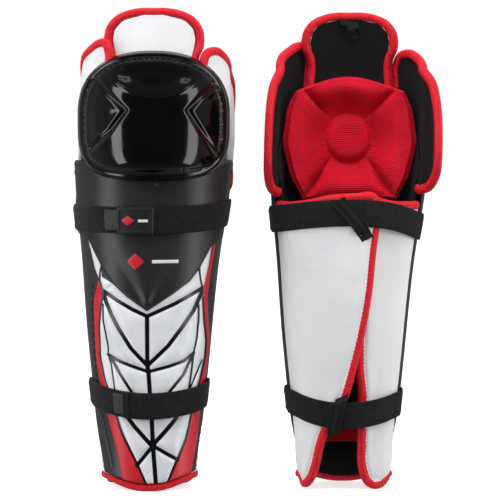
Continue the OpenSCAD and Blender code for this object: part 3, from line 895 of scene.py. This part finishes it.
def opened(points, g, way, flare):
    """A wing's points swung open about its hinge, with the bend spread over the cloth near the hinge."""
    low, high = wing_hinge(300, way), wing_hinge(430, way)
    return turned(points, low, high - low, -way * flare * smooth((g - 84) / 26))


WING_OUTLINE = ((92, 293), (98, 292), (105, 295), (112, 302), (118, 311), (122, 322), (124, 336),
                (123.5, 350), (122, 362), (118.5, 376), (114, 388), (109.5, 398.5), (104, 407.5),
                (97.5, 415), (90, 421))
# How much further round each wing's outline goes, and how far its lower end is lifted
WING_REACH = {"inner": 1.0, "outer": 1.2}
WING_LIFT = {"inner": 4, "outer": 7}


def make_side(side, wing, way):
    """The panel beside the knee and the wing behind it, with the binding round them."""
    flare, knee = FLARE[side, wing], f"{side}_knee"
    tops = PANEL_TOP[wing]

    def shut(g, z, t):
        """A point t mm in from the outside, with the wing in line with its panel."""
        return mirrored(wing_point(g, z, t), way)

    def swung(g, z, t):
        return opened(shut(g, z, t), g, way, flare)

    u, v = grid(50, 60)
    first = tops[0][0] + 1.5
    g = mix(first, 95, u)
    bottom = mix(345, 306, smooth((g - 67) / 28))
    z = mix(bottom, lookup(g, tops) - 5, v)
    plump = 0.9 * np.sin(math.pi * u) * np.sin(math.pi * v)
    panel = sheet(f"{wing}_panel", side, shut(g, z, -plump), shut(g, z, WING_T + plump),
                  [MAT["white"], MAT["lining"]], round_edge=0.8)
    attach(panel, knee)
    edge = [(first - 1, h) for h in (400, 412, tops[0][1] - 9)]
    angles = (first + 1.5, first + 5, 52, 60, 68, 78, 87, 95)
    edge += [(a, float(np.interp(a, *zip(*tops))) - 4) for a in angles]
    path = mirrored(resample([wing_point(a, h, WING_T / 2) for a, h in edge], 0.8), way)
    tape = tube(f"{wing}_panel_binding", side, path, from_axis, 4.4, 4.4, MAT["tape"], stitch=0.12)
    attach(tape, knee)
    outline = [(92 + (a - 92) * WING_REACH[wing], h + WING_LIFT[wing] * float(1 - smooth((h - 296) / 50)))
               for a, h in WING_OUTLINE]
    u, v = grid(50, 110)
    z = mix(295, 418, v)
    last = np.interp(z, *zip(*[(h, a) for a, h in outline[1:]])) - 2.5
    g = mix(90, last, u)
    plump = 1.3 * np.sin(math.pi * u) * np.sin(math.pi * v)
    cloth = sheet(f"{wing}_wing_cloth", side, swung(g, z, -plump), swung(g, z, WING_T + plump),
                  [MAT["white"], MAT["lining"]], round_edge=0.8)
    g, z = flat_curve(outline, 0.7)
    path = swung(g, z, WING_T / 2)
    out = swung(g, z, -5) - path
    edge = tube(f"{wing}_wing_edge", side, path, unit(out), 4.7, 4.4, MAT["tape"], stitch=0.12)
    start = spot(wing_hinge(360, way) + np.array([way * 1.0, -3.0, 0]), side)
    end = spot(wing_hinge(360, way) + np.array([way * -1.0, 5.0, 0]), side)
    for piece, node, slot in ((cloth, "wing", "white_fabric"), (edge, "wing_binding", "red_binding")):
        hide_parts(f"{side}_{wing}_{node}")
        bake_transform(piece)
    return panel


def thigh_point(x, z, t):
    depth = np.interp(z, (419, 468), (58, 52)) - t
    return np.stack([lean(z) + x, -depth * np.sqrt(np.maximum(0.05, 1 - (x / 82) ** 2)), z + 0 * x], -1)


THIGH_OUTLINE = [(41, 394), (40, 407), (39, 419), (40, 430), (44, 440), (44.5, 449), (42, 458), (35, 466),
                 (24, 471), (12, 473), (0, 473)]


def make_thigh_flap(side):
    u, v = grid(70, 50)
    s = 2 * u - 1
    z = mix(393, 471 - 5 * s**2, v)
    x = np.interp(z, *zip((392, 39), (410, 37), *THIGH_W)) * s
    plump = 1.2 * np.cos(s * math.pi / 2) * np.sin(math.pi * v)
    flap = sheet("thigh_cloth", side, thigh_point(x, z, -plump), thigh_point(x, z, 6.4),
                 [MAT["white"], MAT["lining"]], round_edge=1.5)
    outline = THIGH_OUTLINE + [(-x, z) for x, z in THIGH_OUTLINE[-2::-1]]
    path = thigh_point(*flat_curve(outline, 0.8), 3.5)
    tape = tube("thigh_binding", side, path, from_axis, 4.1, 4.8, MAT["tape"], stitch=0.10)
    low = spot([KNEE_X, -56, 412], side)
    high = spot([KNEE_X, -56, 424], side)
    for piece, node, slot in ((flap, "thigh_flap", "white_fabric"),
                              (tape, "thigh_flap_binding", "red_binding")):
        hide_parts(f"{side}_{node}")
        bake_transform(piece)


# ---------------------------------------------------------------- calf flaps and their bindings
def flap_edges(table, bottoms, tops):
    """A flap's edge as angles and heights: along the bottom, up the free edge and back along the top."""
    rows = [(g, float(rim(g)) + BINDING_R + 1.6) for g in bottoms]
    heights = (13, 28, 45, 62, 78, 98, 125, 160, 200, 240, 272)
    rows += [(float(np.interp(z, *zip(*table))), z) for z in heights]
    return rows + [(g, float(calf_top(g)) - BINDING_R) for g in tops]


def make_flap(side, name, start, table, depth, edges):
    """One calf flap: cloth over foam from its hinge to its free edge, with the binding rolled round it."""
    sign = math.copysign(1, start)
    u, v = grid(110, 170)
    start = sign * np.minimum(abs(start), shell_edge(mix(14, CALF_H, v), sign) - 6)
    inset = -sign * 2.2
    g = mix(start, lookup(mix(0, CALF_H, v), table) + inset, u)
    z = mix(rim(g) + 2 * BINDING_R - 1.5, calf_top(g) - 2 * BINDING_R + 1.5, v)
    g = mix(start, np.interp(z, *zip(*table)) + inset, u)
    thick = mix(4.6, FLAP_T, smooth((np.abs(g) - 96) / 8))
    border = np.minimum(np.minimum(u * 300, (1 - u) * 130), np.minimum(v, 1 - v) * 270)
    pillow = 1.3 * smooth(border / 14) - 0.5 * np.exp(-((border - 5) / 1.6) ** 2)
    pucker = 0.25 * np.cos(z * 2 * math.pi / 4.2) * np.exp(-((border - 3) / 3.5) ** 2)
    wave = 0.7 * np.sin(z / 31 + g / 17) * smooth(border / 40)
    out = depth(g) + pillow + pucker + wave * smooth((np.abs(g) - 100) / 25)
    cloth = sheet(f"{name}_cloth", side, leg(g, z, out), leg(g, z, depth(g) - thick),
                  [MAT["white"], MAT["lining"]], round_edge=0.8)
    g, z = flat_curve(edges, 0.8)
    path = leg(g, z, depth(g) - FLAP_T / 2)
    tape = tube(f"{name}_edge", side, path, from_axis, 4.6, 4.4, MAT["tape"], stitch=0.12)
    near = leg(sign * 93, 150, FLAP_OUT)
    start_at = spot(near, side)
    end_at = spot(near + np.array([-sign * 6.0, 9.0, 0]), side)
    for piece, node, slot in ((cloth, name, "white_fabric"), (tape, f"{name}_binding", "red_binding")):
        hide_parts(f"{side}_{node}")
        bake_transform(piece)


def make_flaps(side):
    main = flap_edges(MAIN_EDGE, (-92, -99, -108, -116), (-199, -185, -165, -145, -125, -110, -98, -92))
    under = flap_edges(UNDER_EDGE, (92, 99, 108, 120, 132), (161, 148, 135, 120, 108, 98, 92))
    make_flap(side, "calf_flap", -91, MAIN_EDGE, main_depth, main)
    make_flap(side, "under_flap", 91, UNDER_EDGE, under_depth, under)


# ---------------------------------------------------------------- straps
PATCH_TOP = 4.4
STRAP_LINES = {
    # height at the inner side, the front, the outer side and the back
    ("right", "upper"): (271, 270, 276, 272),
    ("left", "upper"): (269, 270, 261, 277.5),
    ("right", "lower"): (97, 87, 96, 86),
    ("left", "lower"): (89, 84, 86, 77),
}


def strap_height(side, strap, g):
    """The height of a strap's middle round the leg."""
    inner, front, outer, back = STRAP_LINES[side, strap]
    turn = np.radians(np.asarray(g, float))
    ends = mix(inner, outer, 0.5 + 0.5 * np.sin(turn))
    middle = np.where(np.cos(turn) > 0, front, back)
    return mix(ends, middle, np.abs(np.cos(turn)) ** 1.6)


def strap_out(g):
    """How far a strap's inside stands off the leg surface, from the front round to the back."""
    turn = np.abs(((np.asarray(g, float) + 180) % 360) - 180)
    return mix(mix(PATCH_TOP + 0.3, 1.8, smooth((turn - 55) / 40)), -1.7, smooth((turn - 96) / 26))


def ribbon(name, side, strap, start, end, out, thick, width, material, fields=None):
    """A strap along the leg surface between two angles."""
    nu = max(24, int(abs(end - start) * 1.6))
    u, v = grid(nu, 25)
    g = mix(start, end, u)
    across = (v - 0.5) * width
    z = strap_height(side, strap, g) + across
    crown = thick * (1 - 0.35 * (2 * np.abs(v - 0.5)) ** 6)
    low = out(g)
    made = fields(g, across) if fields else None
    if made and "raise" in made:
        crown = crown + made.pop("raise")
    return sheet(name, side, leg(g, z, low + crown), leg(g, z, low), [material], made, 0.25)


def badge_fields(g, across):
    """A plain raised mark: a red lozenge and one pale bar."""
    along = (g + 10) * 1.15
    mark = inside(along, across, ((-10, 0), (-5, 5), (0, 0), (-5, -5)))
    pale = inside(along, across, ((3, 1.3), (11, 1.3), (11, -1.3), (3, -1.3)))
    frame_line = np.minimum(14 - np.abs(along), 12.5 - np.abs(across))
    rise = 0.7 * smooth((np.maximum(mark, pale) + 0.2) / 0.7) + 0.8 * np.exp(-((frame_line - 1.0) / 0.9) ** 2)
    return {"mark": mark, "pale": pale, "raise": rise}


def make_straps(side):
    guard, flap = f"{side}_guard", f"{side}_calf_flap"
    patches, backs = [], []
    for strap, level in (("upper", UPPER_STRAP), ("lower", LOWER_STRAP)):
        patch_end = -14 if strap == "upper" else -12
        patches.append(ribbon(f"{strap}_loop_patch", side, strap, -86, patch_end, lambda g: 0.4 + 0 * g,
                              PATCH_TOP - 0.4, STRAP_W, MAT["loop"]))
        backs.append(ribbon(f"{strap}_calf_strap", side, strap, -89, -260, strap_out, 1.7, STRAP_W,
                            MAT["webbing"]))
        over = PATCH_TOP + 0.4
        end = ribbon(f"{strap}_front_strap", side, strap, -22, 101, strap_out, 1.9, STRAP_W, MAT["webbing"])
        tab = ribbon(f"{strap}_hook_tab", side, strap, -33, -21, lambda g: over + 0 * g, 2.2, STRAP_W - 6,
                     MAT["hook"])
        parts = [(end, "black_webbing", f"{side}_{strap}_strap_end"),
                 (tab, "hook_tape", f"{side}_{strap}_strap_tab")]
        if strap == "upper":
            badge = ribbon("strap_badge", side, strap, -22.5, 3, lambda g: over + 2.0 + 0 * g, 1.5,
                           STRAP_W + 0.5, MAT["badge"], fields=badge_fields)
            parts.append((badge, "badge_rubber", f"{side}_upper_strap_badge"))
        else:
            hem = ribbon("folded_hem", side, strap, -22.5, -17, lambda g: over + 1.9 + 0 * g, 1.4,
                         STRAP_W - 0.5, MAT["webbing"])
            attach(hem, f"{side}_lower_strap")
        for piece, slot, node in parts:
            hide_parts(node)
            if piece is not end:
                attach(piece, f"{side}_{strap}_strap")
        hinge = leg(97, level, 2.0)
        spot(hinge + np.array([-2.0, 4.5, 0]), side)
        spot(hinge + np.array([-0.5, -4.5, 0]), side)
        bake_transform(end)
    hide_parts(f"{side}_loop_patches")
    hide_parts(f"{side}_calf_straps")
    near = leg(-93, 150, FLAP_OUT)
    for patch in patches:
        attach(patch, guard)
    for back in backs:
        spot(near, side)
        spot(near + np.array([6.0, 9.0, 0]), side)
        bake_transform(back)
    make_keepers(side)
    make_rivets(side)


# Each keeper: its strap, its angles at the foot and the top, its heights there from the strap's middle, and
# about half its width in degrees
KEEPERS = (("upper", -196, -171, -25, 12.5, 5.5), ("lower", -166, -176, -20, 19, 8))


def make_keepers(side):
    """Loops of folded tape that hold each strap to the calf flap."""
    for strap, start, end, low, high, half in KEEPERS:
        u, v = grid(16, 60)
        g = mix(start, end, v) + (2 * u - 1) * half * 0.85
        dz = mix(low, high, v)
        proud = smooth((dz + STRAP_W / 2 + 7) / 7) * smooth((STRAP_W / 2 + 5 - dz) / 5)
        z = strap_height(side, strap, g) + dz - (2 * u - 1) * 3
        fold = 0.8 * np.cos((2 * u - 1) * 5.2) * (0.4 + 0.6 * proud)
        out = mix(-3.4, 1.3, proud) + fold
        loop = sheet(f"{strap}_keeper_loop", side, leg(g, z, out + 1.3), leg(g, z, out), [MAT["webbing"]],
                     round_edge=0.4)
        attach(loop, f"{side}_calf_flap")
        if strap == "upper":
            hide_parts(f"{side}_strap_keepers")


def lathe(name, side, profile, centre, axis, material, sides=28):
    """A turned piece: profile is radius and height pairs along axis from centre."""
    axis = unit(np.asarray(axis, float))
    other = unit(np.cross(axis, (0, 0, 1.0)) if abs(axis[2]) < 0.9 else np.cross(axis, (1.0, 0, 0)))
    third = np.cross(axis, other)
    a = np.arange(sides) * 2 * math.pi / sides
    ring = np.cos(a)[:, None] * other + np.sin(a)[:, None] * third
    rows = [centre + max(r, 0.02) * ring + h * axis for r, h in profile]
    points = np.concatenate(rows)
    index = np.arange(len(points)).reshape(len(profile), sides)
    faces = quads(np.concatenate([index, index[:, :1]], 1))
    cloth = np.stack([np.tile(a * 5, len(profile)), np.repeat([h for _, h in profile], sides),
                      np.zeros(len(points))], -1)
    return build(name, side, points, faces, [material], cloth)


# A rivet's radius and height, from its foot to the hollow in its top
DOME = ((0, -1.2), (3.2, -1.2), (3.4, -0.4), (3.1, 0.1), (2.2, 0.5), (1.5, 0.6), (1.2, 0.3), (0.6, 0.2),
        (0, 0.2))


def make_rivets(side):
    made = []
    for strap in ("upper", "lower"):
        for up in (-8, 8):
            z = float(strap_height(side, strap, -88)) + up
            centre = leg(-87.5, z, float(strap_out(-88)) + 1.9)
            made.append(lathe(f"{strap}_rivet_{'low' if up < 0 else 'high'}", side, DOME, centre, (-1, 0, 0),
                              MAT["rivet"]))
    small = [(0.6 * r, 0.6 * h) for r, h in DOME]
    for name, g, z in (("front", 5, 305), ("inner", -86, 316), ("outer", 86, 316)):
        normal = leg(g, z, 5.0) - leg(g, z, 0.0)
        made.append(lathe(f"{name}_shell_rivet", side, small, leg(g, z, 0.5), normal, MAT["rivet"]))
    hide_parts(f"{side}_strap_rivets")
    for piece in made:
        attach(piece, f"{side}_guard")


def make_thigh_tab(side):
    """A folded black tab sewn to the inside of the thigh flap."""
    u, v = grid(14, 40)
    s = 2 * u - 1
    bend = v * 26
    y = -43.8 + 3.2 * smooth(v / 0.5) * np.sin(v * math.pi) + 0.5 * np.cos(3 * s)
    x = KNEE_X + 2 - 5 * (v - 0.4) + s * mix(4.2, 9.0, smooth((v - 0.62) / 0.1))
    z = 450 + bend * 0.72 - 2.0 * s * (v > 0.6)
    face = np.stack([x, y, z], -1)
    back = face + np.array([0.6, -1.8, -0.6])
    tab = sheet("thigh_tab", side, face, back, [MAT["webbing"]], round_edge=0.5)
    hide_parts(f"{side}_thigh_flap_tab")
    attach(tab, f"{side}_thigh_flap")


# ---------------------------------------------------------------- camera, light and floor
# The view's middle across, the camera's distance and height, the height it looks at and the width it sees
VIEW_X, DISTANCE, EYE, TARGET, VIEW_WIDTH = -0.006, 2.4, 0.36, 0.238, 0.5
FLOOR_REACH = 40.0
LIT_POINT = (VIEW_X, 0, 0.26)


def facing(where, towards):
    """The rotation that turns a camera or light at one place towards another."""
    return (Vector(towards) - Vector(where)).to_track_quat("-Z", "Y").to_euler()


def make_camera():
    data = bpy.data.cameras.new("camera")
    data.lens = data.sensor_width * DISTANCE / VIEW_WIDTH
    data.clip_end = 50
    camera = bpy.data.objects.new("camera", data)
    bpy.context.scene.collection.objects.link(camera)
    camera.location = (VIEW_X, -DISTANCE, EYE)
    camera.rotation_euler = facing(camera.location, (VIEW_X, 0, TARGET))
    bpy.context.scene.camera = camera


def make_world():
    """White to the camera. What it lights gets least from behind the camera, and gloss shows it dimmer."""
    world = bpy.data.worlds.new("studio")
    world.use_nodes = True
    tree = world.node_tree

    def new(kind):
        return tree.nodes.new("ShaderNode" + kind)

    join = tree.links.new
    seen, lit = tree.nodes["Background"], new("Background")
    seen.inputs["Color"].default_value = (1, 1, 1, 1)
    split, front, path = new("SeparateXYZ"), new("MapRange"), new("LightPath")
    join(new("TexCoord").outputs["Generated"], split.inputs[0])
    join(split.outputs["Y"], front.inputs["Value"])
    for key, value in (("From Min", -0.8), ("From Max", 0.3), ("To Min", 0.18), ("To Max", 1.15)):
        front.inputs[key].default_value = value
    dim, strength = new("Math"), new("Math")
    dim.operation, strength.operation = "MULTIPLY_ADD", "MULTIPLY"
    join(path.outputs["Is Glossy Ray"], dim.inputs[0])
    dim.inputs[1].default_value, dim.inputs[2].default_value = -0.72, 1.0
    join(front.outputs[0], strength.inputs[0])
    join(dim.outputs[0], strength.inputs[1])
    join(strength.outputs[0], lit.inputs["Strength"])
    chosen = new("MixShader")
    for source, k in ((path.outputs["Is Camera Ray"], 0), (lit.outputs[0], 1), (seen.outputs[0], 2)):
        join(source, chosen.inputs[k])
    join(chosen.outputs[0], tree.nodes["World Output"].inputs["Surface"])
    bpy.context.scene.world = world


def make_floor():
    mesh = bpy.data.meshes.new("floor")
    far = FLOOR_REACH
    mesh.from_pydata([(-far, -far, 0), (far, -far, 0), (far, far, 0), (-far, far, 0)], [], [(0, 1, 2, 3)])
    floor = bpy.data.objects.new("floor", mesh)
    paper = Shader("floor_paper", (0.90, 0.90, 0.90), 0.9, Specular_IOR_Level=0.0)
    paper.bsdf.inputs["Emission Color"].default_value = (1, 1, 1, 1)
    paper.bsdf.inputs["Emission Strength"].default_value = 0.62
    paper.bump(paper.noise(3, 2), 0.02)
    mesh.materials.append(paper.material)
    bpy.context.scene.collection.objects.link(floor)
    floor.visible_glossy = floor.visible_diffuse = False


# Each light: its name, place, width and height, power, and whether gloss shows it
LIGHTS = (
    ("strip_left", (-2.0, -1.0, 0.3), (0.75, 3.6), 36, True),
    ("strip_right", (2.0, -0.75, 0.3), (0.75, 3.6), 31, True),
    ("ridge", (0, -0.6, 2.4), (2.4, 0.12), 2, True),
    ("top", (0, -0.9, 2.4), (2.4, 1.2), 42, False),
    ("front", (0, -3.6, 1.6), (2.6, 0.9), 30, False),
)


def make_lights():
    for name, where, size, power, in_gloss in LIGHTS:
        data = bpy.data.lights.new(name, "AREA")
        data.shape = "RECTANGLE"
        data.size, data.size_y = size
        data.energy = power
        light = bpy.data.objects.new(name, data)
        bpy.context.scene.collection.objects.link(light)
        light.location = where
        light.rotation_euler = facing(where, LIT_POINT)
        light.visible_glossy = in_gloss


bpy.context.scene.view_settings.view_transform = "Standard"
make_camera()
make_world()
make_floor()
make_lights()
for side in SIDES:
    make_shell(side)
    make_padding(side)
    make_gusset(side)
    make_rim(side)
    make_cap(side)
    make_pad(side)
    panels = [make_side(side, "inner", -1), make_side(side, "outer", 1)]
    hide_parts(f"{side}_knee_panels")
    make_thigh_flap(side)
    make_thigh_tab(side)
    make_flaps(side)
    make_straps(side)
